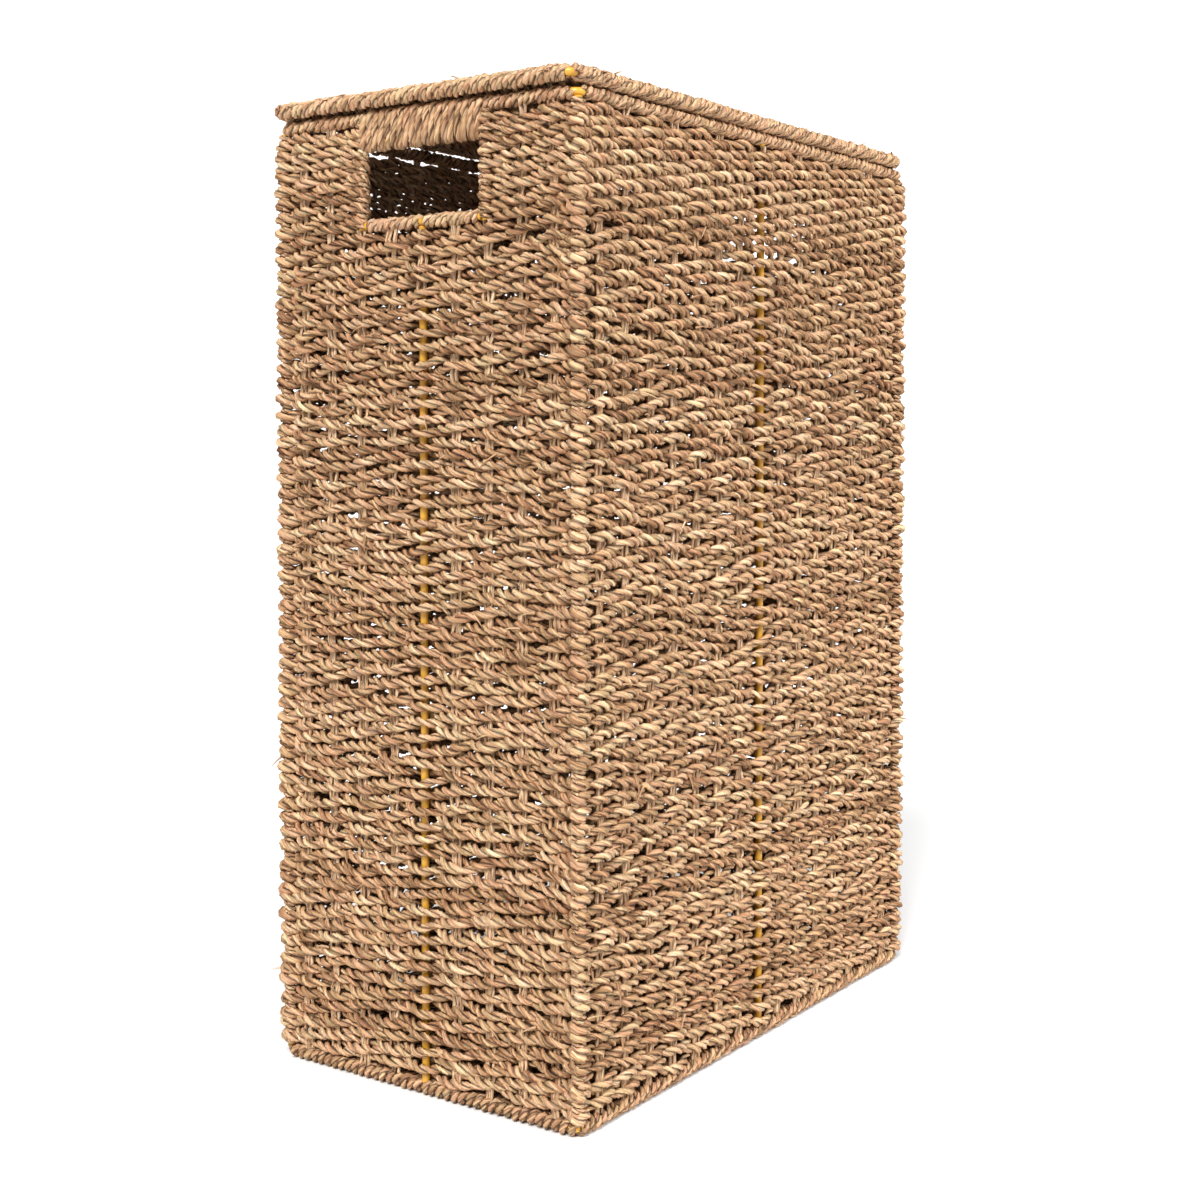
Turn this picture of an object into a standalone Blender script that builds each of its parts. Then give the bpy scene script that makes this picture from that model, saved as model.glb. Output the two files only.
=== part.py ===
# Woven laundry basket with a hinged lid: a welded rod frame and the seagrass woven on it.
# Metres, +Z up, standing on Z = 0. The long sides face -Y (front) and +Y (back, where the
# lid hinges). The short ends, each with a hand hole, face -X (left) and +X (right).
import math

import bpy
import bmesh
from mathutils import Matrix, Vector

# Driving sizes of the basket
LENGTH = 0.420                # body along X, over the weave
WIDTH = 0.240                 # body along Y, over the weave
HEIGHT = 0.610                # floor to the top of the lid
WEAVE_THICKNESS = 0.011       # walls, two ropes and a stake deep
BASE_THICKNESS = 0.010
LID_THICKNESS = 0.0095
ROD_RADIUS = 0.0025           # the frame's steel rod
CORNER_BEND = 0.005           # bend of the rings' corners, on the rod's centre line
GAP = 0.0003                  # between pieces that touch

# Bindings: strand wound round a rod, as a tube with eight flats
BASE_BINDING_RADIUS = 0.0050
RIM_BINDING_RADIUS = 0.0045
LID_BINDING_RADIUS = 0.0052
CORNER_BINDING_RADIUS = WEAVE_THICKNESS / 2
SILL_BINDING_RADIUS = 0.0045
FLATS = 8

# Hand hole in each end
HOLE_HALF_WIDTH = 0.044
HOLE_SILL = 0.534             # top of the bound sill
HOLE_TOP = 0.574              # underside of the grip
JAMB_OFFSET = 0.0485          # jamb bar from the middle of the end
GRIP_RAIL_HEIGHT = 0.580
GRIP_THICKNESS = 0.0105
GRIP_ROUNDING = 0.004

# Lid and its rope hinges
LID_REST_GAP = 0.0005         # between the lid's binding and the rim's
LID_OVERHANG = 0.002          # lid longer than the body, at each end
LID_SHIFT = -0.004            # the rope hinges let the lid lie towards the left end
LID_WEAVE_CLEARANCE = 0.0065  # lid's rod to the edge of its weave
HINGE_OFFSET = 0.120          # each hinge from the middle of the back
HINGE_ROPE_RADIUS = 0.0015
HINGE_LOOP_RADIUS = 0.0044    # rope's centre line round each rod
HINGE_SLOT = 0.0056           # length of rod left bare for a hinge
HINGE_NOTCH_DEPTH = 0.0035

# Places worked out from the sizes
INSET = WEAVE_THICKNESS / 2
ROD_X = LENGTH / 2 - INSET
ROD_Y = WIDTH / 2 - INSET
BASE_ROD_Z = BASE_BINDING_RADIUS
RIM_ROD_Z = HEIGHT - 2 * LID_BINDING_RADIUS - LID_REST_GAP - RIM_BINDING_RADIUS
LID_ROD_Z = HEIGHT - LID_BINDING_RADIUS
LID_ROD_X = ROD_X + LID_OVERHANG
SILL_ROD_Z = HOLE_SILL - SILL_BINDING_RADIUS
WALL_BOTTOM = 2 * BASE_BINDING_RADIUS + GAP
WALL_TOP = RIM_ROD_Z - RIM_BINDING_RADIUS - GAP
POST_BOTTOM = BASE_ROD_Z + ROD_RADIUS + GAP
POST_TOP = RIM_ROD_Z - ROD_RADIUS - GAP
CORNER_BINDING_TOP = WALL_TOP - HINGE_NOTCH_DEPTH   # room for the open lid's edge
WALL_END_X = ROD_X - INSET - GAP
WALL_END_Y = ROD_Y - INSET - GAP
HINGE_AXIS = Vector((0.0, ROD_Y, RIM_ROD_Z))

CORNER_FACTOR = 1 / math.cos(math.pi / FLATS)   # from a flat's distance to a corner's
CHANNEL_RADIUS = (ROD_RADIUS + GAP) * CORNER_FACTOR
SILL_CHANNEL_RADIUS = (ROD_RADIUS + 2 * GAP) * CORNER_FACTOR   # wider than the jambs' it meets
ALONG = {
    "X": Matrix.Rotation(math.pi / 2, 4, "Y"),
    "Y": Matrix.Rotation(-math.pi / 2, 4, "X"),
    "Z": Matrix.Identity(4),
}
FLAT_DOWN = Matrix.Rotation(math.pi / FLATS, 4, "Z")


def clear_scene():
    for obj in list(bpy.data.objects):
        bpy.data.objects.remove(obj, do_unlink=True)


def new_collection(name):
    collection = bpy.data.collections.new(name)
    bpy.context.scene.collection.children.link(collection)
    return collection


def new_material(name, colour, roughness, metallic=0.0):
    material = bpy.data.materials.new(name)
    material.use_nodes = True
    shader = material.node_tree.nodes["Principled BSDF"]
    shader.inputs["Base Color"].default_value = (*colour, 1.0)
    shader.inputs["Roughness"].default_value = roughness
    shader.inputs["Metallic"].default_value = metallic
    material.diffuse_color = (*colour, 1.0)
    return material


clear_scene()
basket = new_collection("laundry_basket")
cutters = new_collection("cutters")


def place(name, data, matrix=None, parent=None, collection=basket):
    obj = bpy.data.objects.new(name, data)
    collection.objects.link(obj)
    if parent is not None:
        obj.parent = parent
        obj.matrix_parent_inverse = parent.matrix_world.inverted()
    if matrix is not None:
        obj.matrix_world = matrix
    return obj


def give_material(obj, look):
    colour, roughness, metallic = look
    obj.data.materials.append(new_material(obj.name, colour, roughness, metallic))


def box_mesh(name, size):
    mesh = bpy.data.meshes.new(name)
    shape = bmesh.new()
    bmesh.ops.create_cube(shape, size=1.0)
    bmesh.ops.scale(shape, vec=size, verts=shape.verts)
    shape.to_mesh(mesh)
    shape.free()
    return mesh


def box_between(name, low, high, parent=None, collection=basket):
    low, high = Vector(low), Vector(high)
    centre = Matrix.Translation((low + high) / 2)
    return place(name, box_mesh(name, high - low), centre, parent, collection)


def hide_cutter(obj):
    obj.hide_render = True
    obj.display_type = "WIRE"
    return obj


def box_cutter(name, low, high):
    return hide_cutter(box_between(name, low, high, collection=cutters))


def channel_cutter(name, start, end, axis, radius=CHANNEL_RADIUS):
    """An eight-sided channel for a rod, a gap wider than the rod all round."""
    start, end = Vector(start), Vector(end)
    mesh = bpy.data.meshes.new(name)
    shape = bmesh.new()
    bmesh.ops.create_cone(shape, cap_ends=True, segments=FLATS, radius1=radius, radius2=radius,
                          depth=(end - start).length)
    shape.to_mesh(mesh)
    shape.free()
    turn = Matrix.Translation((start + end) / 2) @ ALONG[axis] @ FLAT_DOWN
    return hide_cutter(place(name, mesh, turn, collection=cutters))


def cut(obj, *tools):
    for tool in tools:
        modifier = obj.modifiers.new(tool.name, "BOOLEAN")
        modifier.operation = "DIFFERENCE"
        modifier.solver = "EXACT"
        modifier.object = tool


def rod(name, points, radius=ROD_RADIUS, closed=False, look=None, parent=None):
    """A round rod or rope along a line of points."""
    curve = bpy.data.curves.new(name, "CURVE")
    curve.dimensions = "3D"
    curve.bevel_depth = radius
    curve.bevel_resolution = 2
    curve.use_fill_caps = True
    spline = curve.splines.new("POLY")
    spline.points.add(len(points) - 1)
    for spline_point, point in zip(spline.points, points):
        spline_point.co = (*point, 1.0)
    spline.use_cyclic_u = closed
    spline.use_smooth = True
    obj = place(name, curve, parent=parent)
    give_material(obj, look or ROD_LOOK)
    return obj


def ring_points(half_x, half_y, height, centre_x=0.0, steps=4):
    """A rectangle with rounded corners, on the rod's centre line."""
    points = []
    for quarter, (side_x, side_y) in enumerate(((1, 1), (-1, 1), (-1, -1), (1, -1))):
        bend_x = centre_x + side_x * (half_x - CORNER_BEND)
        bend_y = side_y * (half_y - CORNER_BEND)
        for step in range(steps + 1):
            angle = (quarter + step / steps) * math.pi / 2
            points.append((bend_x + CORNER_BEND * math.cos(angle),
                           bend_y + CORNER_BEND * math.sin(angle), height))
    return points


def binding(name, start, end, axis, radius, look=None, parent=None):
    """Strand wound tight round a straight rod: a turned tube with eight flats."""
    start, end = Vector(start), Vector(end)
    half = (end - start).length / 2
    outer, inner = radius * CORNER_FACTOR, CHANNEL_RADIUS
    outline = [(outer, 0, half), (outer, 0, -half), (inner, 0, -half), (inner, 0, half)]
    mesh = bpy.data.meshes.new(name)
    mesh.from_pydata(outline, [(0, 1), (1, 2), (2, 3), (3, 0)], [])
    obj = place(name, mesh, Matrix.Translation((start + end) / 2) @ ALONG[axis] @ FLAT_DOWN, parent)
    turned = obj.modifiers.new("turned", "SCREW")
    turned.angle = 2 * math.pi
    turned.steps = FLATS
    turned.render_steps = FLATS
    turned.use_merge_vertices = True
    turned.merge_threshold = 0.0001
    turned.use_smooth_shade = False
    give_material(obj, look or BINDING_LOOK)
    return obj


# Looks: colour, roughness, metallic
WEAVE_LOOK = ((0.53, 0.35, 0.19), 0.85, 0.0)
BINDING_LOOK = ((0.60, 0.42, 0.25), 0.85, 0.0)
ROD_LOOK = ((0.70, 0.40, 0.07), 0.40, 0.0)
HINGE_LOOK = ((0.50, 0.34, 0.20), 0.90, 0.0)
ENDS = {"left": -1, "right": 1}
SIDES = {"front": -1, "back": 1}


def build_frame():
    rod("base_ring", ring_points(ROD_X, ROD_Y, BASE_ROD_Z), closed=True)
    rod("rim_ring", ring_points(ROD_X, ROD_Y, RIM_ROD_Z), closed=True)
    for side, side_y in SIDES.items():
        for end, end_x in ENDS.items():
            corner = (end_x * ROD_X, side_y * ROD_Y)
            rod(f"corner_post_{side}_{end}", [(*corner, POST_BOTTOM), (*corner, POST_TOP)])
        rod(f"upright_{side}", [(0, side_y * ROD_Y, POST_BOTTOM), (0, side_y * ROD_Y, POST_TOP)])
    reach = ROD_Y - ROD_RADIUS - GAP
    rod("base_cross_bar", [(0, -reach, BASE_ROD_Z), (0, reach, BASE_ROD_Z)])


def build_hand_hole_frame(end, end_x):
    x = end_x * ROD_X
    under_sill = SILL_ROD_Z - ROD_RADIUS - GAP
    rod(f"upright_{end}", [(x, 0, POST_BOTTOM), (x, 0, under_sill)])
    jamb_bottom = SILL_ROD_Z - ROD_RADIUS
    for side, side_y in SIDES.items():
        y = side_y * JAMB_OFFSET
        rod(f"hand_hole_jamb_{end}_{side}", [(x, y, jamb_bottom), (x, y, POST_TOP)])
    reach = JAMB_OFFSET - ROD_RADIUS - GAP
    rod(f"hand_hole_sill_rail_{end}", [(x, -reach, SILL_ROD_Z), (x, reach, SILL_ROD_Z)])
    rod(f"grip_rail_{end}", [(x, -reach, GRIP_RAIL_HEIGHT), (x, reach, GRIP_RAIL_HEIGHT)])


def build_grip(end, end_x):
    """Rope wound round the rim ring and the grip rail together, as one flat grip."""
    x = end_x * ROD_X
    half_length = JAMB_OFFSET - ROD_RADIUS - 2 * GAP
    top = RIM_ROD_Z + RIM_BINDING_RADIUS
    grip = box_between(f"grip_winding_{end}",
                       (x - GRIP_THICKNESS / 2, -half_length, HOLE_TOP),
                       (x + GRIP_THICKNESS / 2, half_length, top))
    give_material(grip, BINDING_LOOK)
    long_edges = grip.data.attributes.new("bevel_weight_edge", "FLOAT", "EDGE")
    for edge in grip.data.edges:
        first, last = (grip.data.vertices[index].co for index in edge.vertices)
        long_edges.data[edge.index].value = float(abs(first.y - last.y) > half_length)
    rounding = grip.modifiers.new("rounding", "BEVEL")
    rounding.limit_method = "WEIGHT"
    rounding.width = GRIP_ROUNDING
    rounding.segments = 2
    for label, height in (("rim", RIM_ROD_Z), ("rail", GRIP_RAIL_HEIGHT)):
        reach = half_length + 0.002
        cut(grip, channel_cutter(f"grip_{label}_channel_{end}", (x, -reach, height),
                                 (x, reach, height), "Y"))


def build_long_wall(side, side_y):
    y = side_y * ROD_Y
    wall = box_between(f"weave_{side}", (-WALL_END_X, y - INSET, WALL_BOTTOM),
                       (WALL_END_X, y + INSET, WALL_TOP))
    give_material(wall, WEAVE_LOOK)
    cut(wall, channel_cutter(f"upright_channel_{side}", (0, y, 0), (0, y, HEIGHT), "Z"))
    return wall


def notch_for_hinges(wall):
    for end, end_x in ENDS.items():
        x = end_x * HINGE_OFFSET
        cut(wall, box_cutter(f"hinge_notch_{end}",
                             (x - HINGE_SLOT / 2, ROD_Y - 2 * INSET, WALL_TOP - HINGE_NOTCH_DEPTH),
                             (x + HINGE_SLOT / 2, ROD_Y + 2 * INSET, HEIGHT)))


def build_end_wall(end, end_x):
    """One slab below the sill, and one on each side of the hand hole."""
    x = end_x * ROD_X
    seam = SILL_ROD_Z - SILL_BINDING_RADIUS * CORNER_FACTOR - GAP
    lower = box_between(f"weave_{end}", (x - INSET, -WALL_END_Y, WALL_BOTTOM),
                        (x + INSET, WALL_END_Y, seam))
    give_material(lower, WEAVE_LOOK)
    cut(lower, channel_cutter(f"upright_channel_{end}", (x, 0, 0), (x, 0, HOLE_SILL), "Z"))
    recess = box_cutter(f"grip_recess_{end}", (x - 2 * INSET, -JAMB_OFFSET, HOLE_TOP - GAP),
                        (x + 2 * INSET, JAMB_OFFSET, HEIGHT))
    sill = channel_cutter(f"sill_channel_{end}", (x, -JAMB_OFFSET, SILL_ROD_Z),
                          (x, JAMB_OFFSET, SILL_ROD_Z), "Y", SILL_CHANNEL_RADIUS)
    jamb_bottom = SILL_ROD_Z - ROD_RADIUS - 2 * GAP
    for side, side_y in SIDES.items():
        low_y, high_y = sorted((side_y * HOLE_HALF_WIDTH, side_y * WALL_END_Y))
        beside = box_between(f"weave_{end}_{side}", (x - INSET, low_y, seam + GAP),
                             (x + INSET, high_y, WALL_TOP))
        give_material(beside, WEAVE_LOOK)
        y = side_y * JAMB_OFFSET
        jamb = channel_cutter(f"jamb_channel_{end}_{side}", (x, y, jamb_bottom), (x, y, HEIGHT), "Z")
        cut(beside, recess, sill, jamb)


def build_base():
    edge_x = ROD_X - BASE_BINDING_RADIUS - GAP
    edge_y = ROD_Y - BASE_BINDING_RADIUS - GAP
    base = box_between("weave_base", (-edge_x, -edge_y, 0), (edge_x, edge_y, BASE_THICKNESS))
    give_material(base, WEAVE_LOOK)
    cut(base, channel_cutter("base_bar_channel", (0, -WIDTH / 2, BASE_ROD_Z),
                             (0, WIDTH / 2, BASE_ROD_Z), "Y"))


def build_bindings():
    """Windings round the corner posts, the base ring and the rim ring."""
    upright_notch = {}
    for side, side_y in SIDES.items():
        y = side_y * ROD_Y
        upright_notch[side] = channel_cutter(f"upright_notch_{side}", (0, y, BASE_ROD_Z),
                                             (0, y, RIM_ROD_Z), "Z")
        for end, end_x in ENDS.items():
            x = end_x * ROD_X
            binding(f"corner_binding_{side}_{end}", (x, y, POST_BOTTOM), (x, y, CORNER_BINDING_TOP),
                    "Z", CORNER_BINDING_RADIUS)
        base = binding(f"base_binding_{side}", (-WALL_END_X, y, BASE_ROD_Z),
                       (WALL_END_X, y, BASE_ROD_Z), "X", BASE_BINDING_RADIUS)
        bar_notch = channel_cutter(f"base_bar_notch_{side}", (0, 0, BASE_ROD_Z),
                                   (0, y, BASE_ROD_Z), "Y")
        cut(base, upright_notch[side], bar_notch)

    for end, end_x in ENDS.items():
        x = end_x * ROD_X
        base = binding(f"base_binding_{end}", (x, -WALL_END_Y, BASE_ROD_Z),
                       (x, WALL_END_Y, BASE_ROD_Z), "Y", BASE_BINDING_RADIUS)
        notch = channel_cutter(f"upright_notch_{end}", (x, 0, BASE_ROD_Z), (x, 0, SILL_ROD_Z), "Z")
        sill_end = HOLE_HALF_WIDTH - GAP
        sill = binding(f"sill_binding_{end}", (x, -sill_end, SILL_ROD_Z),
                       (x, sill_end, SILL_ROD_Z), "Y", SILL_BINDING_RADIUS)
        cut(base, notch)
        cut(sill, notch)
        past_jamb = JAMB_OFFSET + ROD_RADIUS + 2 * GAP
        for side, side_y in SIDES.items():
            low, high = sorted((side_y * past_jamb, side_y * WALL_END_Y))
            binding(f"rim_binding_{end}_{side}", (x, low, RIM_ROD_Z), (x, high, RIM_ROD_Z), "Y",
                    RIM_BINDING_RADIUS)

    front = binding("rim_binding_front", (-WALL_END_X, -ROD_Y, RIM_ROD_Z),
                    (WALL_END_X, -ROD_Y, RIM_ROD_Z), "X", RIM_BINDING_RADIUS)
    cut(front, upright_notch["front"])
    back = back_bindings("rim_binding_back", -WALL_END_X, WALL_END_X, RIM_ROD_Z, RIM_BINDING_RADIUS)
    cut(back["middle"], upright_notch["back"])


def back_bindings(name, low_x, high_x, height, radius, parent=None):
    """The back edge's winding, in three lengths between the two hinges."""
    near, far = HINGE_OFFSET - HINGE_SLOT / 2, HINGE_OFFSET + HINGE_SLOT / 2
    lengths = {"left": (low_x, -far), "middle": (-near, near), "right": (far, high_x)}
    return {place_name: binding(f"{name}_{place_name}", (start, ROD_Y, height), (end, ROD_Y, height),
                                "X", radius, parent=parent)
            for place_name, (start, end) in lengths.items()}


def build_lid():
    hinge = bpy.data.objects.new("lid_hinge", None)
    hinge.location = HINGE_AXIS
    basket.objects.link(hinge)
    bpy.context.view_layer.update()

    rod("lid_ring", ring_points(LID_ROD_X, ROD_Y, LID_ROD_Z, LID_SHIFT), closed=True, parent=hinge)
    reach = ROD_Y - ROD_RADIUS - GAP
    rod("lid_cross_bar", [(LID_SHIFT, -reach, LID_ROD_Z), (LID_SHIFT, reach, LID_ROD_Z)], parent=hinge)

    half_x, half_y = LID_ROD_X - LID_WEAVE_CLEARANCE, ROD_Y - LID_WEAVE_CLEARANCE
    weave = box_between("weave_lid",
                        (LID_SHIFT - half_x, -half_y, LID_ROD_Z - LID_THICKNESS / 2),
                        (LID_SHIFT + half_x, half_y, LID_ROD_Z + LID_THICKNESS / 2), hinge)
    give_material(weave, WEAVE_LOOK)
    bar_channel = channel_cutter("lid_bar_channel", (LID_SHIFT, -ROD_Y, LID_ROD_Z),
                                 (LID_SHIFT, ROD_Y, LID_ROD_Z), "Y")
    cut(weave, bar_channel)

    end_x = LID_ROD_X - INSET - GAP
    front = binding("lid_binding_front", (LID_SHIFT - end_x, -ROD_Y, LID_ROD_Z),
                    (LID_SHIFT + end_x, -ROD_Y, LID_ROD_Z), "X", LID_BINDING_RADIUS, parent=hinge)
    back = back_bindings("lid_binding_back", LID_SHIFT - end_x, LID_SHIFT + end_x, LID_ROD_Z,
                         LID_BINDING_RADIUS, hinge)
    cut(front, bar_channel)
    cut(back["middle"], bar_channel)
    for end, side_x in ENDS.items():
        x = LID_SHIFT + side_x * LID_ROD_X
        binding(f"lid_binding_{end}", (x, -WALL_END_Y, LID_ROD_Z), (x, WALL_END_Y, LID_ROD_Z), "Y",
                LID_BINDING_RADIUS, parent=hinge)
        build_hinge_loop(end, side_x * HINGE_OFFSET, hinge)


def build_hinge_loop(end, x, parent, steps=8):
    """A rope loop round the lid's rod and the rim's rod, turning with the lid."""
    points = []
    for height, start in ((LID_ROD_Z, 0.0), (RIM_ROD_Z, math.pi)):
        for step in range(steps + 1):
            angle = start + math.pi * step / steps
            points.append((x, ROD_Y + HINGE_LOOP_RADIUS * math.cos(angle),
                           height + HINGE_LOOP_RADIUS * math.sin(angle)))
    rod(f"hinge_loop_{end}", points, HINGE_ROPE_RADIUS, closed=True, look=HINGE_LOOK, parent=parent)


build_frame()
for end_name, end_direction in ENDS.items():
    build_hand_hole_frame(end_name, end_direction)
    build_grip(end_name, end_direction)
    build_end_wall(end_name, end_direction)
build_long_wall("front", SIDES["front"])
notch_for_hinges(build_long_wall("back", SIDES["back"]))
build_base()
build_bindings()
build_lid()
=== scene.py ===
# Seagrass laundry basket: twisted rope woven round a welded rod frame, with a lid on rope hinges.
# The long walls face -Y (front) and +Y (back, hinge side); the ends with the hand holes face -X and +X.
import math
import random
import bpy
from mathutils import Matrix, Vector


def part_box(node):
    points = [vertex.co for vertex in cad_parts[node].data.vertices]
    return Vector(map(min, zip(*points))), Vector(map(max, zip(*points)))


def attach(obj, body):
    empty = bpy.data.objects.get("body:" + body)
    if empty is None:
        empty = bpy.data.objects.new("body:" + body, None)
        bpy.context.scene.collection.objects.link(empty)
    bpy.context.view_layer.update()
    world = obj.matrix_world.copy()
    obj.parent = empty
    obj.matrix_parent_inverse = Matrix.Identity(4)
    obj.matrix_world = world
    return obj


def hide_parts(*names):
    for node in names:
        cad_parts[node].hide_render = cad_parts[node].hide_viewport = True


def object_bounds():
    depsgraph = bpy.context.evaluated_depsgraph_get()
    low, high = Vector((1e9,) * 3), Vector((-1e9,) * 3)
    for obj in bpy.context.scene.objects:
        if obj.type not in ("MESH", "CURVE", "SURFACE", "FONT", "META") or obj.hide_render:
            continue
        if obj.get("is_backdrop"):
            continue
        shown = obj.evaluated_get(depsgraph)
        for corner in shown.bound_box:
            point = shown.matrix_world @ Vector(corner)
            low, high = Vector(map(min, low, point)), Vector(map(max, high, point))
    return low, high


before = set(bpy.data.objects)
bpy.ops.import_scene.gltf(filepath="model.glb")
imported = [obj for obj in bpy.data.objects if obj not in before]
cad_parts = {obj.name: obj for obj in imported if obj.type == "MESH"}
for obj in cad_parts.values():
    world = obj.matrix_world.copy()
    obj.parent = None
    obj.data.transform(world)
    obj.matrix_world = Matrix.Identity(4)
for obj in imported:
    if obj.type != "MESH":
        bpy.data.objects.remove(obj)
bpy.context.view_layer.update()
scene = bpy.context.scene
chance = random.Random(41)


class Wire:
    # a node's output that can stand in a sum
    def __init__(self, tree, socket):
        self.tree = tree
        self.socket = socket

    def __add__(self, other):
        return self.tree.maths("ADD", self, other)

    def __sub__(self, other):
        return self.tree.maths("SUBTRACT", self, other)

    def __rsub__(self, other):
        return self.tree.maths("SUBTRACT", other, self)

    def __mul__(self, other):
        return self.tree.maths("MULTIPLY", self, other)

    def __truediv__(self, other):
        return self.tree.maths("DIVIDE", self, other)

    def __rtruediv__(self, other):
        return self.tree.maths("DIVIDE", other, self)

    def __pow__(self, other):
        return self.tree.maths("POWER", self, other)

    __radd__ = __add__
    __rmul__ = __mul__

    def out(self, name):
        # another output of the same node
        return Wire(self.tree, self.socket.node.outputs[name])


class Tree:
    def __init__(self, nodeTree):
        self.nodeTree = nodeTree

    def add(self, kind, settings=None, inputs=None, out=0):
        node = self.nodeTree.nodes.new(kind)
        for name, value in (settings or {}).items():
            setattr(node, name, value)
        for name, value in (inputs or {}).items():
            if isinstance(value, Wire):
                self.nodeTree.links.new(value.socket, node.inputs[name])
            else:
                node.inputs[name].default_value = value
        return Wire(self, node.outputs[out]) if len(node.outputs) else node

    def maths(self, operation, a, b=0.0):
        return self.add("ShaderNodeMath", {"operation": operation}, {0: a, 1: b})

    def vector(self, operation, a, b=None, scale=None):
        inputs = {0: a}
        if b is not None:
            inputs[1] = b
        if scale is not None:
            inputs["Scale"] = scale
        return self.add("ShaderNodeVectorMath", {"operation": operation}, inputs)

    def xyz(self, x, y, z):
        return self.add("ShaderNodeCombineXYZ", None, {0: x, 1: y, 2: z})

    def mixColor(self, factor, a, b, blend="MIX"):
        return self.add("ShaderNodeMix", {"data_type": "RGBA", "blend_type": blend, "clamp_factor": True},
                        {0: factor, 6: a, 7: b}, out=2)


def newShape(name, sockets):
    # an empty geometry tree with named inputs, each given as name: (kind, value)
    group = bpy.data.node_groups.new(name, "GeometryNodeTree")
    group.interface.new_socket("Geometry", in_out="INPUT", socket_type="NodeSocketGeometry")
    for label, (kind, value) in sockets.items():
        socket = group.interface.new_socket(label, in_out="INPUT", socket_type="NodeSocket" + kind)
        if value is not None:
            socket.default_value = value
    group.interface.new_socket("Geometry", in_out="OUTPUT", socket_type="NodeSocketGeometry")
    tree = Tree(group)
    return tree, tree.add("NodeGroupInput")


def closeShape(tree, given, geometry):
    smooth = tree.add("GeometryNodeSetShadeSmooth", None, {"Geometry": geometry})
    real = tree.add("GeometryNodeRealizeInstances", None, {"Geometry": smooth})
    coated = tree.add("GeometryNodeSetMaterial", None,
                      {"Geometry": real, "Material": given.out("Material")})
    tree.add("NodeGroupOutput", None, {"Geometry": coated})
    return tree.nodeTree


def carrier(name, runs):
    # a mesh of bare lines, one for each run: its points, whether it closes, and its tone; a point's fourth
    # number says how plump the rope is there
    points, edges, tones, plumps = [], [], [], []
    for run, closed, tone in runs:
        first = len(points)
        points += [tuple(p)[:3] for p in run]
        plumps += [p[3] if len(p) > 3 else 1.0 for p in run]
        tones += [tone] * len(run)
        edges += [(first + i, first + i + 1) for i in range(len(run) - 1)]
        if closed:
            edges.append((len(points) - 1, first))
    mesh = bpy.data.meshes.new(name)
    mesh.from_pydata(points, edges, [])
    mesh.attributes.new("tone", "FLOAT", "POINT").data.foreach_set("value", tones)
    mesh.attributes.new("plump", "FLOAT", "POINT").data.foreach_set("value", plumps)
    return mesh


def grow(name, runs, shape, values):
    # the geometry tree's result on those runs, as a plain mesh object
    made = bpy.data.objects.new(name, carrier(name, runs))
    scene.collection.objects.link(made)
    modifier = made.modifiers.new("shape", "NODES")
    modifier.node_group = shape
    for item in shape.interface.items_tree:
        if item.item_type == "SOCKET" and item.in_out == "INPUT" and item.name in values:
            modifier[item.identifier] = values[item.name]
    graph = bpy.context.evaluated_depsgraph_get()
    mesh = bpy.data.meshes.new_from_object(made.evaluated_get(graph), preserve_all_data_layers=True,
                                           depsgraph=graph)
    made.modifiers.clear()
    bare = made.data
    made.data = mesh
    bpy.data.meshes.remove(bare)
    mesh.name = name
    mesh.validate()
    print(name, sum(len(face.vertices) - 2 for face in mesh.polygons), "triangles")
    return made


def newFinish(name):
    material = bpy.data.materials.new(name)
    material.use_nodes = True
    material.node_tree.nodes.clear()
    return material, Tree(material.node_tree)


def closeFinish(tree, surface, values, normal):
    shader = tree.add("ShaderNodeBsdfPrincipled", None,
                      {**values, "Base Color": surface["color"], "Roughness": surface["roughness"],
                       "Normal": normal})
    tree.add("ShaderNodeOutputMaterial", None, {"Surface": shader})


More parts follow.
